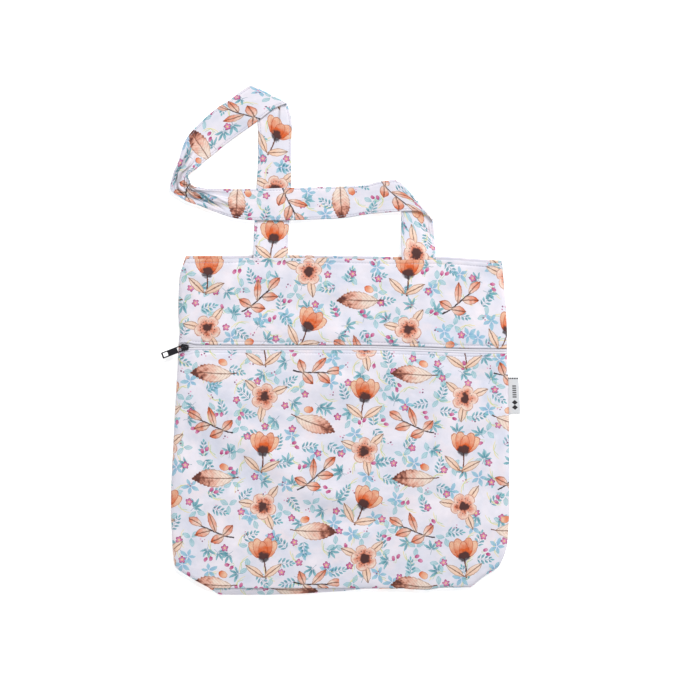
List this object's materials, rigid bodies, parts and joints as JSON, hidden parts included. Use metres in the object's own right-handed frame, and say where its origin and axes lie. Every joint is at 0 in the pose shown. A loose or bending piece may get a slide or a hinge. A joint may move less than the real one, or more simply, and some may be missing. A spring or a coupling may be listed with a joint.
{
  "type": "tote bag",
  "caption": "Flat zip-front tote bag of thin printed cloth lying on its back, with a wide shoulder strap folded out above its open mouth.",
  "frame": {"origin": "middle of the bag's back, on the surface that the bag lies on", "axes": "+Y from the base towards the mouth and the strap, +X to the right of the front, +Z out of the front"},
  "size_m": [0.3941, 0.561, 0.012],
  "materials": {
    "printed_cloth": "satin",
    "zip_tape": "matte",
    "zip_coil": "semi-gloss",
    "black_metal": "gloss",
    "label_cloth": "matte"
  },
  "bodies": {
    "bag": {"back_panel": "printed_cloth", "base_panel": "printed_cloth", "front_lower_panel": "printed_cloth", "front_upper_panel": "printed_cloth", "back_facing": "printed_cloth", "strap": "printed_cloth", "zip_tape_upper": "zip_tape", "zip_tape_lower": "zip_tape", "zip_coil": "zip_coil", "zip_slider": "black_metal", "side_label": "label_cloth"},
    "pull": {"zip_pull": "black_metal"}
  },
  "joints": [
    {"name": "pull_hinge", "type": "hinge", "parent": "bag", "child": "pull", "pos_m": [-0.17032, 0.08472, 0.00811], "axis": [-0.3584, 0.9336, 0], "range_deg": [0, 160]}
  ]
}
